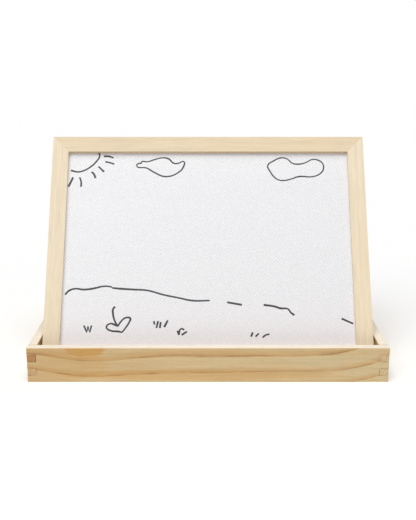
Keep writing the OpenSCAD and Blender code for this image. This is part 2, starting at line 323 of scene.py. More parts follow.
class Shader:
    """A material under construction, with short names for the nodes that the finishes use."""

    def __init__(self, name):
        self.material = bpy.data.materials.new(name)
        self.material.use_nodes = True
        self.tree = self.material.node_tree
        self.surface = self.tree.nodes["Principled BSDF"]

    def plug(self, source, socket):
        """Links a source, or sets a plain value."""
        if isinstance(source, bpy.types.NodeSocket):
            self.tree.links.new(source, socket)
        else:
            socket.default_value = source

    def node(self, kind, inputs, **settings):
        """A node with its settings and inputs, which are numbered or named."""
        made = self.tree.nodes.new(kind)
        for key, value in settings.items():
            setattr(made, key, value)
        for key, source in inputs.items():
            self.plug(source, made.inputs[key])
        return made

    def millimetres(self, place):
        """Coordinates in millimetres on the axes of a place."""
        at = self.node("ShaderNodeTexCoord", {}).outputs["Object"]
        inputs = {
            "Vector": at,
            "Location": place.translation,
            "Rotation": place.to_euler(),
            "Scale": (MM, MM, MM),
        }
        return self.node("ShaderNodeMapping", inputs, vector_type="TEXTURE").outputs[0]

    def turned(self, vector, rotation, location=(0, 0, 0), scale=(1, 1, 1)):
        """Coordinates that are scaled, turned and moved."""
        inputs = {"Vector": vector, "Location": location, "Rotation": rotation, "Scale": scale}
        return self.node("ShaderNodeMapping", inputs).outputs[0]

    def stretched(self, vector, scale, location=(0, 0, 0)):
        """Coordinates with a scale for each axis."""
        return self.turned(vector, (0, 0, 0), location, scale)

    def noise(self, vector, scale=1.0, detail=2.0, roughness=0.5, distortion=0.0):
        """Smooth noise from 0 to 1."""
        inputs = {
            "Vector": vector, "Scale": scale, "Detail": detail, "Roughness": roughness,
            "Distortion": distortion,
        }
        return self.node("ShaderNodeTexNoise", inputs).outputs["Fac"]

    def math(self, operation, first, second=0.0, clamp=False):
        """Arithmetic on two numbers."""
        inputs = {0: first, 1: second}
        return self.node("ShaderNodeMath", inputs, operation=operation, use_clamp=clamp).outputs[0]

    def vector_math(self, operation, first, second):
        """Arithmetic on two vectors."""
        inputs = {0: first, 1: second}
        return self.node("ShaderNodeVectorMath", inputs, operation=operation)

    def remap(self, value, low, high, to_low=0.0, to_high=1.0, smooth=False):
        """A range of values stretched to another range."""
        inputs = {
            "Value": value, "From Min": low, "From Max": high, "To Min": to_low, "To Max": to_high,
        }
        kind = "SMOOTHSTEP" if smooth else "LINEAR"
        return self.node("ShaderNodeMapRange", inputs, interpolation_type=kind).outputs[0]

    def waves(self, vector, spacing):
        """Two sets of even waves, along X and along Y."""
        parts = self.node("ShaderNodeSeparateXYZ", {"Vector": vector}).outputs
        turns = [self.math("MULTIPLY", parts[axis], 2 * math.pi / spacing) for axis in ("X", "Y")]
        return [self.math("SINE", turn) for turn in turns]

    def ramp(self, value, *stops):
        """A curve of (position, height) points."""
        made = self.node("ShaderNodeValToRGB", {"Fac": value})
        points = made.color_ramp.elements
        while len(points) < len(stops):
            points.new(0.5)
        for point, (position, height) in zip(points, stops):
            point.position = position
            point.color = (height, height, height, 1)
        return made.outputs["Color"]

    def mix(self, factor, first, second, blend="MIX"):
        """One colour laid over another."""
        made = self.node("ShaderNodeMix", {}, data_type="RGBA", blend_type=blend)
        self.plug(factor, made.inputs["Factor"])
        self.plug(opaque(first), made.inputs["A"])
        self.plug(opaque(second), made.inputs["B"])
        return made.outputs["Result"]

    def shade(self, colour_source, factor):
        """A colour made lighter or darker by a number near 1."""
        grey = self.node("ShaderNodeCombineColor", {0: factor, 1: factor, 2: factor}).outputs[0]
        return self.mix(1.0, colour_source, grey, "MULTIPLY")

    def bump(self, height, strength, depth_mm):
        """Fine relief on the surface."""
        inputs = {"Height": height, "Strength": strength, "Distance": depth_mm * MM}
        self.plug(self.node("ShaderNodeBump", inputs).outputs[0], self.surface.inputs["Normal"])

    def finish(self, colour_source, roughness, **sockets):
        """Sets the surface's colour and roughness, and plain values for its other sockets."""
        self.plug(opaque(colour_source), self.surface.inputs["Base Color"])
        self.plug(roughness, self.surface.inputs["Roughness"])
        for name, value in sockets.items():
            self.surface.inputs[name].default_value = value
        return self.material


def opaque(source):
    """A colour with its alpha, or a socket as it is."""
    if isinstance(source, bpy.types.NodeSocket):
        return source
    return (source[0], source[1], source[2], 1.0)


# ---- wood ----------------------------------------------------------------------------------


def pine(
    name, place, turn, heart, seed, tones, end_and_shade_tint, lean=(0.0, 0.0), spacing=4.5, waver=1.0,
    contrast=0.6, cut=0.6, phase=None, bends=(), patches=(),
):
    """Lacquered pine cut from a log.

    turn is the grain's direction in the place's XY plane. heart is where the log's middle passes,
    across and through the piece, in millimetres. lean tips the log against the piece, in degrees.
    waver is how far the rings wander, and contrast how dark they are. A phase sets where even
    rings fall. bends draw the grain aside: middle, reach and amount, in millimetres. patches are
    resin-rich spots: middle, radii and strength, in millimetres on the place's own axes. cut is how
    strongly end grain takes its tint, and on the top rail's lip how dark the painted shade is.
    """
    early, late, amber, pale = tones
    s = Shader(name)
    on_piece = s.millimetres(place)
    along = s.turned(on_piece, (0, 0, -turn))

    # Growth rings round the heart, which wanders along the log
    log = s.turned(along, (0, math.radians(lean[0]), math.radians(lean[1])), (0, -heart[0], -heart[1]))
    wander = s.noise(s.stretched(along, (0.006, 0.022, 0.022), (seed, 0, 0)), 1.0, 2.0)
    ripple = s.noise(s.stretched(along, (0.03, 0.12, 0.12), (0, seed, 0)), 1.0, 2.0)
    across = s.vector_math("MULTIPLY", log, (0, 1, 1)).outputs[0]
    radius = s.vector_math("LENGTH", across, (0, 0, 0)).outputs["Value"]
    drift = s.math("MULTIPLY", wander, 3.6 * waver)
    drift = s.math("ADD", drift, s.math("MULTIPLY", ripple, 0.7 * waver))
    position = s.node("ShaderNodeSeparateXYZ", {"Vector": along}).outputs["X"]
    for middle, reach, amount in bends:
        offset = s.math("DIVIDE", s.math("SUBTRACT", position, middle), reach)
        swell = s.math("EXPONENT", s.math("MULTIPLY", s.math("MULTIPLY", offset, offset), -1.0))
        drift = s.math("ADD", drift, s.math("MULTIPLY", swell, amount / spacing))
    rings = s.math("ADD", s.math("DIVIDE", radius, spacing), drift)
    if phase is None:
        uneven = s.noise(s.node("ShaderNodeCombineXYZ", {0: rings, 1: seed}).outputs[0], 0.45, 1.0)
        rings = s.math("ADD", rings, s.math("MULTIPLY", uneven, 1.6))
    else:
        rings = s.math("ADD", rings, phase)
    band = s.math("FRACT", rings)
    late_wood = s.ramp(
        band, (0.0, 0.0), (0.6, 0.02), (0.86, 0.14), (0.94, 0.5), (0.968, 1.0), (1.0, 0.0)
    )
    halo = s.ramp(band, (0.0, 0.3), (0.06, 0.0), (0.6, 0.0), (0.9, 1.0), (1.0, 0.8))
    strength = s.noise(s.node("ShaderNodeCombineXYZ", {0: seed, 1: rings}).outputs[0], 0.7, 1.0)
    late_wood = s.math("MULTIPLY", late_wood, s.remap(strength, 0.3, 0.7, 0.5, 1.0))
    dashes = s.noise(s.stretched(along, (0.045, 0.3, 0.3), (seed, 3, 0)), 1.0, 2.0)
    dashes = s.remap(dashes, 0.35, 0.65, 0.3, 1.2)

    # Fibres and resin canals
    fibre = s.noise(s.stretched(along, (0.04, 0.8, 0.8), (0, 0, seed)), 1.0, 4.0, 0.7)
    streak = s.noise(s.stretched(along, (0.012, 0.25, 0.25), (seed, seed, 0)), 1.0, 3.0, 0.6)
    canal = s.noise(s.stretched(along, (0.09, 2.4, 2.4), (seed, 7, 0)), 1.0, 0.0)
    canal = s.remap(canal, 0.7, 0.78, 0.0, 1.0, smooth=True)
    cloud = s.noise(s.stretched(along, (0.005, 0.02, 0.02), (9, seed, 0)), 1.0, 2.0)

    body = s.mix(s.remap(cloud, 0.35, 0.75, 0.0, 0.35), early, amber)
    for middle, radii, amount in patches:
        shift = s.vector_math("SUBTRACT", on_piece, middle).outputs[0]
        reach = s.vector_math("DIVIDE", shift, radii).outputs[0]
        distance = s.vector_math("LENGTH", reach, (0, 0, 0)).outputs["Value"]
        ragged = s.math("ADD", distance, s.math("MULTIPLY", s.math("SUBTRACT", streak, 0.5), 0.5))
        body = s.mix(s.remap(ragged, 1.0, 0.8, 0.0, amount, smooth=True), body, amber)
    body = s.mix(s.math("MULTIPLY", halo, 0.6 * contrast), body, amber)
    wood = s.mix(s.math("MULTIPLY", s.math("MULTIPLY", late_wood, dashes), contrast), body, late)
    # Painted light: marked faces are mixed towards the fourth, pale tone
    painted_light = s.node("ShaderNodeAttribute", {}, attribute_name="painted_light").outputs["Fac"]
    wood = s.mix(s.math("MULTIPLY", painted_light, 0.85), wood, pale)
    wood = s.shade(wood, s.remap(fibre, 0.25, 0.75, 0.91, 1.07))
    wood = s.shade(wood, s.remap(streak, 0.3, 0.7, 0.94, 1.045))
    wood = s.mix(s.math("MULTIPLY", canal, 0.35), wood, late)
    # End-grain tint, and painted shade on the top rail's lip, which carries the same mark
    across_grain_and_shade = s.node("ShaderNodeAttribute", {}, attribute_name="end_grain_and_shade").outputs["Fac"]
    wood = s.mix(s.math("MULTIPLY", across_grain_and_shade, cut), wood, s.mix(1.0, wood, end_and_shade_tint, "MULTIPLY"))
    seam = s.node("ShaderNodeAttribute", {}, attribute_name="seam").outputs["Fac"]
    glue = s.remap(s.noise(on_piece, 0.08, 1.0), 0.42, 0.58, 0.1, 0.95)
    wood = s.mix(s.math("MULTIPLY", seam, glue), wood, bpy.context.scene.easel_wood.seam)

    relief = s.math("ADD", s.math("MULTIPLY", late_wood, 0.4), s.math("MULTIPLY", fibre, 0.8))
    s.bump(relief, 0.35, 0.12)
    gloss = s.math("SUBTRACT", s.remap(fibre, 0.2, 0.8, 0.62, 0.5), s.math("MULTIPLY", late_wood, 0.08))
    return s.finish(wood, gloss, **{"Coat Weight": 0.08, "Coat Roughness": 0.35})


def tray_pine(name, turn, heart, seed, **settings):
    """Pine for a piece of the tray."""
    wood = bpy.context.scene.easel_wood
    tones = (wood.tray_early, wood.tray_late, wood.tray_amber, wood.tray_painted_light)
    return pine(name, TRAY, turn, heart, seed, tones, wood.end_grain_and_shade, **settings)


def frame_pine(name, place, turn, heart, seed, pale=0.0, **settings):
    """Paler pine for a piece of the board or the prop."""
    wood = bpy.context.scene.easel_wood
    early = Vector(wood.frame_early).lerp(Vector(wood.frame_pale_and_painted_light), pale)
    tones = (early, wood.frame_late, wood.frame_amber, wood.frame_pale_and_painted_light)
    return pine(name, place, turn, heart, seed, tones, wood.end_grain_and_shade, **settings)


def birch_ply(name):
    """Rotary-cut birch veneer: broad soft figure and short dark pores."""
    s = Shader(name)
    at = s.millimetres(TRAY)
    figure = s.noise(s.stretched(at, (0.006, 0.045, 0.05)), 1.0, 4.0, 0.55, 1.2)
    lines = s.math("FRACT", s.math("MULTIPLY", figure, 9.0))
    fibre = s.noise(s.stretched(at, (0.05, 1.4, 1.4)), 1.0, 3.0, 0.6)
    pore = s.remap(s.noise(s.stretched(at, (0.14, 2.6, 2.6), (3, 0, 0)), 1.0, 0.0), 0.69, 0.76)
    lines = s.ramp(lines, (0.0, 0.1), (0.7, 0.55), (1.0, 0.1))
    veneer = s.mix(lines, srgb(233, 209, 172), srgb(214, 182, 138))
    veneer = s.shade(veneer, s.remap(fibre, 0.25, 0.75, 0.95, 1.04))
    veneer = s.mix(s.math("MULTIPLY", pore, 0.4), veneer, srgb(160, 120, 82))
    s.bump(fibre, 0.3, 0.1)
    return s.finish(veneer, s.remap(fibre, 0.2, 0.8, 0.68, 0.52))


def dowel_birch(name, place):
    """Turned birch: fine straight streaks along X."""
    s = Shader(name)
    at = s.millimetres(place)
    streak = s.noise(s.stretched(at, (0.02, 0.9, 0.9)), 1.0, 4.0, 0.6)
    fleck = s.remap(s.noise(s.stretched(at, (0.2, 2.2, 2.2), (5, 0, 0)), 1.0, 0.0), 0.66, 0.74)
    wood = s.mix(s.remap(streak, 0.3, 0.7), srgb(236, 214, 180), srgb(214, 182, 140))
    wood = s.mix(s.math("MULTIPLY", fleck, 0.35), wood, srgb(176, 136, 94))
    s.bump(streak, 0.3, 0.08)
    return s.finish(wood, s.remap(streak, 0.2, 0.8, 0.62, 0.48))


# ---- other finishes ------------------------------------------------------------------------


def whiteboard(name):
    """White dry-erase laminate: soft gloss, a fine weave on the slant, and wiped marker dust."""
    tint = bpy.context.scene.easel_board.sheet
    s = Shader(name)
    at = s.millimetres(BOARD)
    grain = s.noise(at, 0.8, 1.0, 0.7)
    threads = s.waves(s.turned(at, (0, 0, math.radians(40))), THREAD)
    weave = s.math("MULTIPLY", s.math("ADD", threads[0], s.math("MULTIPLY", threads[1], 0.5)), 0.67)
    wiped = s.noise(s.turned(at, (0, 0, 0.5), (0, 0, 0), (0.008, 0.05, 0.05)), 1.0, 3.0, 0.6)
    dust = s.noise(s.stretched(at, (0.03, 0.03, 0.03), (4, 2, 0)), 1.0, 4.0, 0.6)
    sheet = s.shade(tint, s.remap(grain, 0.3, 0.7, 0.89, 1.1))
    sheet = s.shade(sheet, s.remap(weave, -1.0, 1.0, 0.94, 1.06))
    sheet = s.shade(sheet, s.remap(wiped, 0.3, 0.75, 1.0, 0.985))
    # Painted shade: the sheet turns pinker towards the bottom, near the tray
    shade_height = s.node("ShaderNodeSeparateXYZ", {"Vector": at}).outputs["Y"]
    sheet = s.mix(s.remap(shade_height, 90.0, 0.0, 0.0, 0.4, smooth=True), sheet, srgb(238, 231, 234))
    sheet = s.mix(s.remap(dust, 0.55, 0.9, 0.0, 0.12), sheet, srgb(214, 215, 222))
    s.bump(s.noise(at, 0.5, 2.0), 0.12, 0.05)
    gloss = s.remap(wiped, 0.25, 0.75, 0.3, 0.42)
    return s.finish(sheet, gloss, **{"Coat Weight": 0.15, "Coat Roughness": 0.2})


def marker_ink(name):
    """Dry-erase ink, thinner where the tip skipped."""
    ink = bpy.context.scene.easel_board.ink
    s = Shader(name)
    at = s.millimetres(BOARD)
    skip = s.noise(at, 0.7, 3.0, 0.7)
    pool = s.noise(at, 0.09, 2.0)
    line = s.mix(s.remap(skip, 0.5, 0.85, 0.0, 0.35), ink, srgb(128, 130, 134))
    line = s.shade(line, s.remap(pool, 0.3, 0.7, 0.8, 1.25))
    s.bump(skip, 0.2, 0.03)
    return s.finish(line, s.remap(skip, 0.2, 0.8, 0.42, 0.6))


def hardboard(name):
    """The screen-pressed back of brown hardboard, with loose fibres."""
    s = Shader(name)
    at = s.millimetres(BOARD)
    fibres = s.noise(s.stretched(at, (0.25, 0.9, 0.9)), 1.0, 5.0, 0.7, 0.6)
    cloud = s.noise(at, 0.02, 3.0, 0.6)
    screen = s.math("MULTIPLY", *s.waves(at, SCREEN))
    board = s.mix(s.remap(fibres, 0.25, 0.75), srgb(96, 66, 42), srgb(142, 102, 68))
    board = s.mix(s.remap(cloud, 0.35, 0.75, 0.0, 0.5), board, srgb(112, 76, 48))
    board = s.shade(board, s.remap(screen, -1.0, 1.0, 0.9, 1.06))
    s.bump(s.math("ADD", s.math("MULTIPLY", screen, 0.4), fibres), 0.6, 0.2)
    return s.finish(board, s.remap(fibres, 0.2, 0.8, 0.85, 0.7))


def zinc_steel(name, place):
    """Zinc-plated steel with fine scratches and a dull bloom."""
    s = Shader(name)
    at = s.millimetres(place)
    bloom = s.noise(at, 0.6, 4.0, 0.6)
    scratch = s.noise(s.stretched(at, (0.4, 5.0, 5.0)), 1.0, 2.0)
    metal = s.mix(s.remap(bloom, 0.3, 0.75), srgb(202, 203, 206), srgb(166, 168, 172))
    metal = s.shade(metal, s.remap(scratch, 0.3, 0.7, 0.94, 1.04))
    s.bump(scratch, 0.25, 0.03)
    return s.finish(metal, s.remap(bloom, 0.3, 0.75, 0.26, 0.46), Metallic=1.0)


def black_rubber(name):
    """Moulded rubber with a matt grain and chalky scuffs."""
    s = Shader(name)
    at = s.millimetres(PROP)
    grain = s.noise(at, 3.0, 3.0, 0.7)
    scuff = s.noise(at, 0.5, 3.0)
    skin = s.mix(s.remap(scuff, 0.5, 0.8, 0.0, 0.5), srgb(38, 38, 40), srgb(78, 76, 74))
    s.bump(grain, 0.5, 0.08)
    return s.finish(skin, s.remap(grain, 0.2, 0.8, 0.7, 0.86))


def natural_nylon(name):
    """Moulded nylon, slightly cloudy."""
    s = Shader(name)
    at = s.millimetres(TRAY)
    cloud = s.noise(at, 0.35, 3.0)
    grain = s.noise(at, 4.0, 2.0)
    skin = s.mix(s.remap(cloud, 0.3, 0.7), srgb(238, 235, 226), srgb(224, 219, 206))
    s.bump(grain, 0.2, 0.03)
    return s.finish(skin, s.remap(cloud, 0.3, 0.7, 0.38, 0.5))


def studio_paper(name):
    """Matt white paper for the floor and the backdrop."""
    tint = bpy.context.scene.easel_stage.floor
    s = Shader(name)
    at = s.millimetres(TRAY)
    grain = s.noise(at, 0.4, 3.0)
    paper = s.shade(tint, s.remap(grain, 0.2, 0.8, 0.995, 1.0))
    return s.finish(paper, s.remap(grain, 0.2, 0.8, 0.85, 0.95), **{"Specular IOR Level": 0.0})


# ---- wooden shapes -------------------------------------------------------------------------


def pull(bm, face, offset):
    """Extrudes a face by an offset."""
    made = bmesh.ops.extrude_face_region(bm, geom=[face])["geom"]
    moved = [item for item in made if isinstance(item, bmesh.types.BMVert)]
    bmesh.ops.translate(bm, vec=offset, verts=moved)


def slice_through(bm, point, normal, clear_outer=False):
    """Cuts every face along a plane, and gives what lies on the cut."""
    everything = bm.verts[:] + bm.edges[:] + bm.faces[:]
    return bmesh.ops.bisect_plane(
        bm, geom=everything, plane_co=point, plane_no=normal, clear_outer=clear_outer
    )["geom_cut"]


def fingered_wall(low, high, run, tip, first):
    """A wall along axis run, shortened by tip at both ends, with its fingers put back there.

    first is 0 if the wall owns the lowest finger, or 1 if it owns the next.
    """
    inset = Vector((0, 0, 0))
    inset[run] = tip
    bm = box(low + inset, high - inset)
    step = (high.z - low.z) / FINGERS
    for index in range(1, FINGERS):
        slice_through(bm, (0, 0, low.z + index * step), (0, 0, 1))
    for face in [face for face in bm.faces if abs(face.normal[run]) > 0.9]:
        index = int((face.calc_center_median().z - low.z) / step)
        if index % 2 != first:
            continue
        outwards = Vector((0, 0, 0))
        outwards[run] = math.copysign(tip, face.normal[run])
        pull(bm, face, outwards)
    bmesh.ops.dissolve_limit(bm, angle_limit=FLAT, verts=bm.verts, edges=bm.edges)
    return bm


def mitred_member(member_length, width, thickness, lip, rebate):
    """A rebated frame member along X, with its outer edge at Y zero and its back at Z zero."""
    end = member_length / 2
    profile = [
        (0, 0), (width - rebate, 0), (width - rebate, thickness - lip), (width, thickness - lip),
        (width, thickness), (0, thickness),
    ]
    bm = bmesh.new()
    section = bm.faces.new([bm.verts.new((-end, y, z)) for y, z in profile])
    pull(bm, section, (member_length, 0, 0))
    for side in (-1, 1):
        cut = slice_through(bm, (side * end, 0, 0), (side, 1, 0), clear_outer=True)
        edges = [item for item in cut if isinstance(item, bmesh.types.BMEdge)]
        bmesh.ops.edgeloop_fill(bm, edges=edges)
    return bm


def rounded_bar(low, high):
    """A bar along Y with fully rounded ends, seen from X."""
    bm = box(low, high)
    ends = [
        edge for edge in bm.edges
        if abs(edge.verts[0].co.x - edge.verts[1].co.x) > (high.x - low.x) / 2
    ]
    round_edges(bm, ends, (high.z - low.z) / 2, 10)
    bmesh.ops.remove_doubles(bm, verts=bm.verts, dist=0.01 * MM)
    return bm


def lathe(profile):
    """A shape turned round X, from (along, radius) points."""
    bm = bmesh.new()
    verts = [bm.verts.new((along, radius, 0)) for along, radius in profile]
    edges = [bm.edges.new(pair) for pair in zip(verts, verts[1:])]
    bmesh.ops.spin(
        bm, geom=verts + edges, cent=(0, 0, 0), axis=(1, 0, 0), angle=2 * math.pi, steps=32,
        use_merge=True,
    )
    bmesh.ops.remove_doubles(bm, verts=bm.verts, dist=0.002 * MM)
    for face in bm.faces:
        face.smooth = True
    return bm


def joined(shapes):
    """Several bmeshes as one."""
    whole = bmesh.new()
    for shape in shapes:
        whole.from_mesh(mesh_of(shape, "part"))
    return whole


# ---- tray ----------------------------------------------------------------------------------


def floor_cutter():
    """The space that the floor takes in the underside of the walls."""
    low, high = limits("tray_floor", TRAY)
    return box(low - Vector((0, 0, 5 * MM)), high)


def soften_joint(bm, tip, radius, seam_radius):
    """Sands a wall's edges, and leaves a dark seam round each finger."""
    low = CAD_BOX[0]
    high = (CAD_BOX[1][0], CAD_BOX[1][1], limits("tray_front_wall", TRAY)[1].z)
    touch = 0.01 * MM

    def planes(point):
        """How many of the tray's outer planes a point lies on."""
        return sum(
            abs(point[axis] - low[axis]) < touch or abs(point[axis] - high[axis]) < touch
            for axis in range(3)
        )

    def at_corner(point):
        """Whether a point lies in one of the tray's corner joints."""
        return all(
            point[axis] < low[axis] + tip + touch or point[axis] > high[axis] - tip - touch
            for axis in range(2)
        )

    seam = bm.faces.layers.float.new("seam")
    seams = []
    for edge in sharp_edges(bm):
        middle = (edge.verts[0].co + edge.verts[1].co) / 2
        if at_corner(middle) and planes(middle) < 2:
            seams.append(edge)
    made = bmesh.ops.bevel(
        bm, geom=seams, offset=seam_radius, offset_type="OFFSET", affect="EDGES", segments=1,
        profile=0.5, clamp_overlap=True, material=-1,
    )
    for face in made["faces"]:
        face[seam] = 1.0
    outer = [edge for edge in sharp_edges(bm) if not any(face[seam] for face in edge.link_faces)]
    round_edges(bm, outer, radius, 2)


def build_tray_walls():
    """Replaces the four walls. The front wall has a figure of its own."""
    wood = bpy.context.scene.easel_wood
    wall = limits("tray_front_wall", TRAY)
    tip = wall[1].y - wall[0].y
    top = wall[1].z / MM
    left = wall[0].x / MM
    right = wall[1].x / MM
    front_figure = {
        "spacing": 5.6, "waver": 0.16, "contrast": 0.9, "phase": 0.18,
        "bends": ((left + 75, 45, -1.5), (left - 10, 50, 1.4), (right + 40, 60, 8.5)),
        "patches": (
            ((left + 64, 0, top), (27, 400, 13), 1.0),
            ((left + 250, 0, 34), (190, 400, 5), 0.1),
            ((left + 190, 0, 8), (190, 400, 7), 0.45),
            ((left + 30, 0, 20), (70, 400, 26), 0.35),
        ),
    }
    figures = {
        "front": ((5, 70), 3.1, front_figure),
        "back": ((120, 30), 17.4, {"lean": (-0.6, 0.7)}),
        "left": ((165, 8), 29.8, {"lean": (0.8, 0.4), "cut": 0.9}),
        "right": ((-160, 34), 41.3, {"lean": (-0.7, 0.9), "cut": 0.15}),
    }
    for side, (heart, seed, figure) in figures.items():
        node = "tray_" + side + "_wall"
        run = 0 if side in ("front", "back") else 1
        turn = (ALONG_X, ALONG_Y)[run]
        material = tray_pine(side + " wall pine", turn, heart, seed, **figure)
        bm = fingered_wall(*limits(node, TRAY), run, tip, run)
        bm = combine(bm, floor_cutter(), "DIFFERENCE")
        soften_joint(bm, tip, wood.edge_radius, wood.joint_radius)
        mark_cuts_and_painted_light(bm, Vector((1 - run, run, 0)), upright=True)
        piece(bm, node + "_wood", TRAY, "tray", "tray_pine", material, node)


def build_tray_fittings():
    """Replaces the ledges, and finishes the floor, nails, pins and washers."""
    wood = bpy.context.scene.easel_wood
    finish_node("tray_floor", birch_ply("birch plywood"))
    for node, heart, seed in (("left_ledge", (200, 40), 51.0), ("right_ledge", (-150, -20), 57.0)):
        bm = box(*limits(node, TRAY))
        soften(bm, wood.edge_radius)
        mark_cuts_and_painted_light(bm, Vector((0, 1, 0)))
        material = tray_pine(node.replace("_", " ") + " pine", ALONG_Y, heart, seed, spacing=3.5)
        piece(bm, node + "_wood", TRAY, "tray", "tray_pine", material, node)
    steel = zinc_steel("tray steel", TRAY)
    for node in ("floor_nails", "hinge_pins"):
        finish_node(node, steel)
    finish_node("spacer_washers", natural_nylon("natural nylon"))


# ---- board ---------------------------------------------------------------------------------


def is_outer(edge, width, thickness):
    """Whether an edge of a frame member is a long one that hands touch."""
    first, second = (vertex.co for vertex in edge.verts)
    long = abs(first.x - second.x) > 5 * width
    on_face = first.z > thickness / 2 and second.z > thickness / 2
    return long and (first.y < 0.1 * width or (on_face and first.z > thickness - 0.1 * width))


def build_board_frame():
    """Replaces the four mitred members."""
    wood = bpy.context.scene.easel_wood
    low, high = limits("board_bottom_rail", BOARD)
    top = limits("board_top_rail", BOARD)[1]
    sheet_low, sheet_high = limits("whiteboard_sheet", BOARD)
    width = high.y - low.y
    thickness = high.z - low.z
    lip = high.z - sheet_high.z
    rebate = width - (sheet_low.y - low.y) + PANEL_GAP
    middle = (low.y + top.y) / 2
    across = high.x - low.x
    tall = top.y - low.y
    members = (
        ("board_bottom_rail", across, 0.0, tall / 2, (-30, 300), 61.0, 0.0),
        ("board_top_rail", across, math.pi, tall / 2, (200, -160), 67.0, 0.0),
        ("board_left_stile", tall, -math.pi / 2, across / 2, (320, -60), 73.0, 0.5),
        ("board_right_stile", tall, math.pi / 2, across / 2, (-340, -70), 79.0, 0.5),
    )
    for node, member_length, turn, reach, heart, seed, pale in members:
        bm = mitred_member(member_length, width, thickness, lip, rebate)
        # The mitres' doubled points hold both of these roundings at nothing, so the edges stay sharp
        outer = [edge for edge in sharp_edges(bm) if is_outer(edge, width, thickness)]
        round_edges(bm, outer, wood.frame_radius)
        soften(bm, wood.joint_radius, 2)
        mark_cuts_and_painted_light(bm, Vector((1, 0, 0)))
        # Painted shade on the top rail's lip, painted light on the lips of the other members
        mark_lip(bm, node == "board_top_rail")
        spot = Matrix.Translation((0, middle, low.z)) @ Matrix.Rotation(turn, 4, "Z")
        bmesh.ops.transform(bm, matrix=spot @ Matrix.Translation((0, -reach, 0)), verts=bm.verts)
        grain = ALONG_X if "rail" in node else ALONG_Y
        material = frame_pine(
            node.replace("_", " ") + " pine", BOARD, grain, heart, seed, pale=pale, spacing=7.0,
            waver=0.25, contrast=0.55,
        )
        piece(bm, node + "_wood", BOARD, "board", "frame_pine", material, node)


# The drawing: lines through points in millimetres, across from the middle of the board and up
# from its hinge axis. A cloud closes on itself.
SUN = (
    [(-133, 241), (-131, 236), (-135, 228), (-142, 221), (-151, 216), (-157, 215), (-165, 217)],
    [(-126, 235), (-120, 235), (-114, 233)],
    [(-124, 228), (-119, 227), (-113, 225)],
    [(-132, 222), (-129, 219), (-125, 215)],
    [(-140, 215), (-137, 212), (-135, 207)],
    [(-154, 208), (-152, 202), (-152, 196)],
    [(-162, 208), (-164, 203), (-167, 196)],
)
CLOUDS = (
    [(-86, 223), (-83, 226), (-81, 226), (-80, 228), (-73, 228), (-64, 231), (-56, 233), (-48, 232),
     (-41, 226), (-36, 226), (-29, 228), (-29, 223), (-36, 214), (-51, 209), (-64, 214), (-74, 220)],
    [(72, 223), (79, 229), (88, 233), (95, 232), (102, 226), (110, 225), (118, 227), (126, 231),
     (133, 230), (138, 226), (139, 219), (135, 213), (126, 209), (109, 209), (100, 206),
     (91, 204), (84, 205), (79, 209), (75, 215)],
)
GROUND = (
    [(-165, 64), (-160, 69), (-153, 71), (-144, 70), (-134, 71), (-119, 74), (-111, 73)],
    [(-111, 72), (-101, 71), (-85, 70), (-70, 69), (-52, 64), (-33, 60), (-18, 57), (2, 57)],
    [(22, 55), (39, 52)],
    [(64, 52), (77, 50), (83, 48), (92, 47), (95, 43), (99, 40)],
    [(153, 36), (166, 30)],
)
SPROUT = (
    [(-107, 50), (-109, 47), (-109, 42), (-107, 34), (-103, 27)],
    [(-103, 27), (-100, 32), (-94, 37), (-89, 36), (-90, 32), (-95, 24), (-98, 20)],
    [(-98, 20), (-102, 21), (-111, 22), (-116, 26), (-112, 30), (-107, 29), (-103, 27)],
)
GRASS = (
    [(-142, 28), (-140, 24), (-138, 20)], [(-137, 27), (-137, 22)], [(-133, 28), (-135, 20)],
    [(-62, 33), (-61, 29)], [(-57, 33), (-59, 25)], [(-54, 32), (-55, 25)], [(-46, 34), (-50, 26)],
    [(-35, 22), (-33, 17)], [(-33, 18), (-31, 24), (-27, 23)], [(-24, 21), (-30, 17)],
    [(51, 20), (49, 15)], [(58, 19), (54, 15)], [(70, 18), (66, 17), (62, 14)],
)


def build_drawing(height):
    """Marker lines as flat ribbons on the writing surface."""
    settings = bpy.context.scene.easel_board
    wobble = random.Random(4)
    curve = bpy.data.curves.new("drawing", "CURVE")
    curve.dimensions = "3D"
    curve.bevel_depth = settings.line_width / 2
    curve.bevel_resolution = 2
    curve.resolution_u = 6
    curve.use_fill_caps = True
    for points in SUN + CLOUDS + GROUND + SPROUT + GRASS:
        spline = curve.splines.new("BEZIER")
        spline.bezier_points.add(len(points) - 1)
        spline.use_cyclic_u = points in CLOUDS
        for knot, (x, y) in zip(spline.bezier_points, points):
            knot.co = (x * MM, y * MM, 0)
            knot.handle_left_type = "AUTO"
            knot.handle_right_type = "AUTO"
            knot.radius = wobble.uniform(0.8, 1.1) * (CLOUD_WEIGHT if points in CLOUDS else 1.0)
    lines = bpy.data.objects.new("drawing", curve)
    bpy.context.scene.collection.objects.link(lines)
    bpy.context.view_layer.update()
    shaped = lines.evaluated_get(bpy.context.evaluated_depsgraph_get())
    bm = bmesh.new()
    bm.from_mesh(shaped.to_mesh())
    shaped.to_mesh_clear()
    bpy.data.objects.remove(lines)
    bpy.data.curves.remove(curve)
    bmesh.ops.scale(bm, vec=(1, 1, INK_FLATNESS), verts=bm.verts)
    bmesh.ops.translate(bm, vec=(0, 0, height), verts=bm.verts)
    for face in bm.faces:
        face.smooth = True
    piece(bm, "marker_drawing", BOARD, "board", "writing_surface", marker_ink("marker ink"))


def build_writing_surface():
    """Finishes the sheet and draws on it."""
    finish_node("whiteboard_sheet", whiteboard("dry-erase laminate"))
    build_drawing(limits("whiteboard_sheet", BOARD)[1].z)


def build_board_back():
    """Finishes the hardboard, and the steel that shows from behind."""
    finish_node("backing_board", hardboard("hardboard"))
    steel = zinc_steel("board steel", BOARD)
    for node in ("corner_staples", "backing_brads", "prop_pins"):
        finish_node(node, steel)


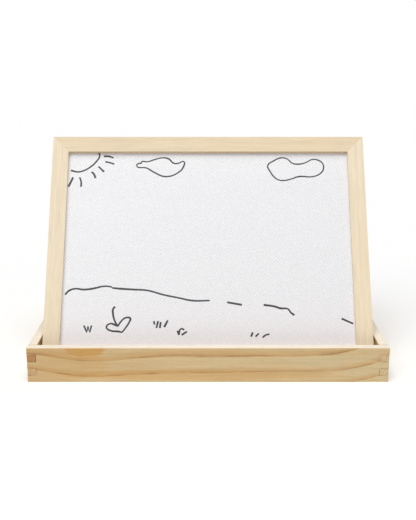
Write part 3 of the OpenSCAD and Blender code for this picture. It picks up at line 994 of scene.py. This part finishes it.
def block_on_frame(node, lug_at):
    """A screwed flange with a round lug under it, in the board's axes."""
    is_hinge = "hinge" in node
    low, high = limits(node, BOARD)
    inner, outer = sorted((abs(low.x), abs(high.x)))
    lug_radius = lug_at - low.y if is_hinge else -low.z
    lug_outer = outer if is_hinge else inner + PROP_LUG
    flange_outer = outer - HINGE_FLANGE_INSET if is_hinge else outer
    lug = box(
        Vector((inner, lug_at - lug_radius, -lug_radius)),
        Vector((lug_outer, lug_at + lug_radius, high.z)),
    )
    lower = [
        edge for edge in lug.edges
        if all(vertex.co.z < 0 for vertex in edge.verts)
        and abs(edge.verts[0].co.x - edge.verts[1].co.x) > (lug_outer - inner) / 2
    ]
    round_edges(lug, lower, lug_radius, 8)
    flange_low = Vector((inner, lug_at if is_hinge else low.y, high.z - FLANGE))
    flange = box(flange_low, Vector((flange_outer, high.y, high.z)))
    bm = combine(lug, flange, "UNION")
    if "left" in node:
        bmesh.ops.scale(bm, vec=(-1, 1, 1), verts=bm.verts)
        bmesh.ops.reverse_faces(bm, faces=bm.faces)
    return bm


def build_blocks():
    """Replaces the blocks that the hinge pins and the prop pins pass through."""
    wood = bpy.context.scene.easel_wood
    prop_at = (BOARD.inverted() @ Vector(JOINTS["prop_fold"]["pos_m"])).y
    blocks = (
        ("left_hinge_block", 0.0), ("right_hinge_block", 0.0),
        ("left_prop_block", prop_at), ("right_prop_block", prop_at),
    )
    for index, (node, lug_at) in enumerate(blocks):
        bm = block_on_frame(node, lug_at)
        soften(bm, wood.joint_radius, 2)
        mark_cuts_and_painted_light(bm, Vector((0, 1, 0)))
        heart = (190 - 40 * index, -20)
        material = frame_pine(
            node.replace("_", " ") + " pine", BOARD, ALONG_Y, heart, 83.0 + 5 * index, spacing=3.2,
            contrast=0.95,
        )
        piece(bm, node + "_wood", BOARD, "board", "prop_pine", material, node)


# ---- prop ----------------------------------------------------------------------------------


def build_prop():
    """Replaces the arms, the cross rail, the foot dowel and its sleeves."""
    wood = bpy.context.scene.easel_wood
    for side, heart, seed in (("left", (170, -16), 103.0), ("right", (-150, 22), 107.0)):
        node = "prop_" + side + "_arm"
        bm = rounded_bar(*limits(node, PROP))
        soften(bm, wood.edge_radius, 2)
        mark_cuts_and_painted_light(bm, Vector((0, 1, 0)))
        material = frame_pine(
            "prop " + side + " arm pine", PROP, ALONG_Y, heart, seed, spacing=3.4, contrast=0.95
        )
        piece(bm, node + "_wood", PROP, "prop", "prop_pine", material, node)
    bm = box(*limits("prop_cross_rail", PROP))
    soften(bm, wood.edge_radius)
    mark_cuts_and_painted_light(bm, Vector((1, 0, 0)))
    material = frame_pine(
        "cross rail pine", PROP, ALONG_X, (80, -14), 113.0, lean=(0.5, 0.6), spacing=4.0,
        contrast=0.95,
    )
    piece(bm, "prop_cross_rail_wood", PROP, "prop", "prop_pine", material, "prop_cross_rail")

    low, high = limits("foot_dowel", PROP)
    radius = (high.z - low.z) / 2
    rim = radius - DOWEL_CHAMFER
    dowel = lathe([
        (low.x, 0), (low.x, rim), (low.x + DOWEL_CHAMFER, radius), (high.x - DOWEL_CHAMFER, radius),
        (high.x, rim), (high.x, 0),
    ])
    foot = PROP @ Matrix.Translation((0, (low.y + high.y) / 2, (low.z + high.z) / 2))
    birch = dowel_birch("dowel birch", PROP)
    piece(dowel, "foot_dowel_wood", foot, "prop", "dowel_birch", birch, "foot_dowel")
    sleeves = joined(foot_sleeve(*solid, radius) for solid in solids("foot_sleeves", foot))
    rubber = black_rubber("black rubber")
    piece(sleeves, "foot_sleeves_rubber", foot, "prop", "rubber", rubber, "foot_sleeves")


def foot_sleeve(middle, size, bore):
    """A rubber sleeve with rounded rims and a shallow groove round its middle."""
    radius = size.y / 2
    half = size.x / 2
    steps = 4
    profile = [(-half, bore), (-half, radius - SLEEVE_RIM)]
    for step in range(1, steps + 1):
        angle = math.pi / 2 * step / steps
        along = SLEEVE_RIM * (1 - math.cos(angle)) - half
        profile.append((along, radius - SLEEVE_RIM + SLEEVE_RIM * math.sin(angle)))
    far_side = [(-along, reach) for along, reach in reversed(profile)]
    floor = radius - SLEEVE_GROOVE
    profile += [(-0.25 * half, radius), (-0.12 * half, floor), (0.12 * half, floor), (0.25 * half, radius)]
    bm = lathe(profile + far_side + profile[:1])
    bmesh.ops.translate(bm, vec=(middle.x, 0, 0), verts=bm.verts)
    return bm


# ---- screws --------------------------------------------------------------------------------


def cross_head_screw(screw_length):
    """A countersunk screw with a cross recess. Its head faces -Z, at zero."""
    edge = 0.15 * MM
    bm = lathe([
        (0, 0), (0, SCREW_HEAD - edge), (edge, SCREW_HEAD), (SCREW_SINK, SCREW_SHAFT),
        (screw_length - SCREW_TIP, SCREW_SHAFT), (screw_length, 0.2 * SCREW_SHAFT), (screw_length, 0),
    ])
    upright = Matrix.Rotation(-math.pi / 2, 3, "Y")
    bmesh.ops.rotate(bm, cent=(0, 0, 0), matrix=upright, verts=bm.verts)
    arm = 0.62 * SCREW_HEAD
    slot = 0.16 * SCREW_HEAD
    for reach in (Vector((arm, slot, 0)), Vector((slot, arm, 0))):
        cutter = box(-reach - Vector((0, 0, MM)), reach + Vector((0, 0, 0.7 * SCREW_SINK)))
        bm = combine(bm, cutter, "DIFFERENCE")
    return bm


def build_screws():
    """Replaces the plain screws whose heads show."""
    turns = random.Random(8)
    groups = (
        ("ledge_screws", TRAY, "tray", 0), ("cross_rail_screws", PROP, "prop", 0),
        ("block_screws", BOARD, "board", 2),
    )
    for node, place, body, axis in groups:
        found = solids(node, place)
        pattern = mesh_of(cross_head_screw(found[0][1][axis]), "screw")
        whole = bmesh.new()
        for middle, size in found:
            side = math.copysign(1, middle.x)
            head_side = {"ledge_screws": -side, "cross_rail_screws": side, "block_screws": -1}[node]
            start = middle.copy()
            start[axis] += head_side * size[axis] / 2
            spin = Matrix.Rotation(turns.uniform(0, math.pi), 4, "Z")
            facing = Matrix.Identity(4)
            if axis == 0:
                facing = Matrix.Rotation(-head_side * math.pi / 2, 4, "Y")
            first = len(whole.verts)
            whole.from_mesh(pattern)
            whole.verts.ensure_lookup_table()
            added = whole.verts[first:]
            spot = Matrix.Translation(start) @ facing @ spin
            bmesh.ops.transform(whole, matrix=spot, verts=added)
        bpy.data.meshes.remove(pattern)
        steel = zinc_steel(node.replace("_", " ") + " steel", place)
        piece(whole, node + "_steel", place, body, "steel", steel, node)


# ---- stage ---------------------------------------------------------------------------------


def soft_sun(name, power, azimuth, elevation, spread):
    """A broad even light from a direction given in degrees, with azimuth 0 in front."""
    data = bpy.data.lights.new(name, "SUN")
    data.energy = power
    data.angle = math.radians(spread)
    light = bpy.data.objects.new(name, data)
    light.rotation_euler = Euler((math.radians(90 - elevation), 0, math.radians(azimuth)))
    bpy.context.scene.collection.objects.link(light)


def build_floor():
    """A wide round floor."""
    bm = bmesh.new()
    bmesh.ops.create_circle(bm, cap_ends=True, segments=64, radius=FLOOR_RADIUS)
    floor = bpy.data.objects.new("floor", mesh_of(bm, "floor"))
    floor.data.materials.append(studio_paper("studio paper"))
    bpy.context.scene.collection.objects.link(floor)


def build_world(glow):
    """A white surround that lights matt surfaces by less than it shows."""
    world = bpy.data.worlds.new("studio")
    world.use_nodes = True
    nodes = world.node_tree.nodes
    links = world.node_tree.links
    shown = nodes["Background"]
    shown.inputs["Color"].default_value = (1, 1, 1, 1)
    lighting = nodes.new("ShaderNodeBackground")
    lighting.inputs["Strength"].default_value = glow
    path = nodes.new("ShaderNodeLightPath")
    blend = nodes.new("ShaderNodeMixShader")
    links.new(path.outputs["Is Diffuse Ray"], blend.inputs[0])
    links.new(shown.outputs[0], blend.inputs[1])
    links.new(lighting.outputs[0], blend.inputs[2])
    links.new(blend.outputs[0], nodes["World Output"].inputs["Surface"])
    bpy.context.scene.world = world


def build_camera():
    """A camera in front of the easel, a little above it."""
    stage = bpy.context.scene.easel_stage
    low, high = limits("tray_front_wall", TRAY)
    data = bpy.data.cameras.new("camera")
    data.lens = stage.lens
    camera = bpy.data.objects.new("camera", data)
    camera.location = (0, low.y - stage.camera_distance, high.z + stage.camera_height)
    camera.rotation_euler = Euler((math.pi / 2 - stage.camera_dip, 0, 0))
    bpy.context.scene.collection.objects.link(camera)
    bpy.context.scene.camera = camera


def build_stage():
    """Floor, camera, two soft lights and a white surround."""
    stage = bpy.context.scene.easel_stage
    build_floor()
    build_camera()
    soft_sun("top light", stage.top_power, azimuth=0, elevation=76, spread=45)
    soft_sun("key light", stage.key_power, azimuth=-36, elevation=46, spread=35)
    build_world(stage.surround)
    bpy.context.scene.view_settings.view_transform = "Standard"


# ---- operators and panel -------------------------------------------------------------------


class EaselOperator:
    """What the easel's operators share."""

    bl_options = {"REGISTER", "UNDO"}


class EASEL_OT_tray_walls(EaselOperator, bpy.types.Operator):
    """Build the tray's four finger-jointed walls"""

    bl_idname = "easel.tray_walls"
    bl_label = "Tray walls"

    def execute(self, context):
        build_tray_walls()
        return {"FINISHED"}


class EASEL_OT_tray_fittings(EaselOperator, bpy.types.Operator):
    """Build the tray's floor, ledges, pins and washers"""

    bl_idname = "easel.tray_fittings"
    bl_label = "Tray fittings"

    def execute(self, context):
        build_tray_fittings()
        return {"FINISHED"}


class EASEL_OT_board_frame(EaselOperator, bpy.types.Operator):
    """Build the board's mitred frame"""

    bl_idname = "easel.board_frame"
    bl_label = "Board frame"

    def execute(self, context):
        build_board_frame()
        return {"FINISHED"}


class EASEL_OT_writing_surface(EaselOperator, bpy.types.Operator):
    """Finish the whiteboard and draw on it"""

    bl_idname = "easel.writing_surface"
    bl_label = "Writing surface"

    def execute(self, context):
        build_writing_surface()
        return {"FINISHED"}


class EASEL_OT_board_back(EaselOperator, bpy.types.Operator):
    """Finish the hardboard back and its fasteners"""

    bl_idname = "easel.board_back"
    bl_label = "Board back"

    def execute(self, context):
        build_board_back()
        return {"FINISHED"}


class EASEL_OT_blocks(EaselOperator, bpy.types.Operator):
    """Build the hinge and prop blocks"""

    bl_idname = "easel.blocks"
    bl_label = "Blocks"

    def execute(self, context):
        build_blocks()
        return {"FINISHED"}


class EASEL_OT_prop(EaselOperator, bpy.types.Operator):
    """Build the folding prop and its feet"""

    bl_idname = "easel.prop"
    bl_label = "Prop"

    def execute(self, context):
        build_prop()
        return {"FINISHED"}


class EASEL_OT_screws(EaselOperator, bpy.types.Operator):
    """Build the cross-head screws"""

    bl_idname = "easel.screws"
    bl_label = "Screws"

    def execute(self, context):
        build_screws()
        return {"FINISHED"}


class EASEL_OT_stage(EaselOperator, bpy.types.Operator):
    """Build the floor, lights and camera"""

    bl_idname = "easel.stage"
    bl_label = "Stage"

    def execute(self, context):
        build_stage()
        return {"FINISHED"}


OPERATORS = (
    EASEL_OT_tray_walls, EASEL_OT_tray_fittings, EASEL_OT_board_frame, EASEL_OT_writing_surface,
    EASEL_OT_board_back, EASEL_OT_blocks, EASEL_OT_prop, EASEL_OT_screws, EASEL_OT_stage,
)


class EASEL_PT_panel(bpy.types.Panel):
    """The easel's settings and steps"""

    bl_label = "Kids Easel"
    bl_idname = "EASEL_PT_panel"
    bl_space_type = "VIEW_3D"
    bl_region_type = "UI"
    bl_category = "Easel"

    def draw(self, context):
        for operator in OPERATORS:
            self.layout.operator(operator.bl_idname)
        for group in SETTINGS:
            settings = getattr(context.scene, group)
            column = self.layout.column()
            for name in settings.bl_rna.properties.keys():
                if name not in ("rna_type", "name"):
                    column.prop(settings, name)


SETTINGS = {"easel_wood": EaselWood, "easel_board": EaselBoard, "easel_stage": EaselStage}


def register():
    """Adds the settings, the operators and the panel."""
    for group in SETTINGS.values():
        bpy.utils.register_class(group)
    for name, group in SETTINGS.items():
        setattr(bpy.types.Scene, name, PointerProperty(type=group))
    for cls in OPERATORS + (EASEL_PT_panel,):
        bpy.utils.register_class(cls)


def unregister():
    """Takes away what register added."""
    for cls in reversed(OPERATORS + (EASEL_PT_panel,)):
        bpy.utils.unregister_class(cls)
    for name in SETTINGS:
        delattr(bpy.types.Scene, name)
    for group in reversed(list(SETTINGS.values())):
        bpy.utils.unregister_class(group)


def main():
    """Builds the easel and its stage."""
    register()
    bpy.ops.easel.tray_walls()
    bpy.ops.easel.tray_fittings()
    bpy.ops.easel.board_frame()
    bpy.ops.easel.writing_surface()
    bpy.ops.easel.board_back()
    bpy.ops.easel.blocks()
    bpy.ops.easel.prop()
    bpy.ops.easel.screws()
    bpy.ops.easel.stage()


if __name__ == "__main__":
    main()
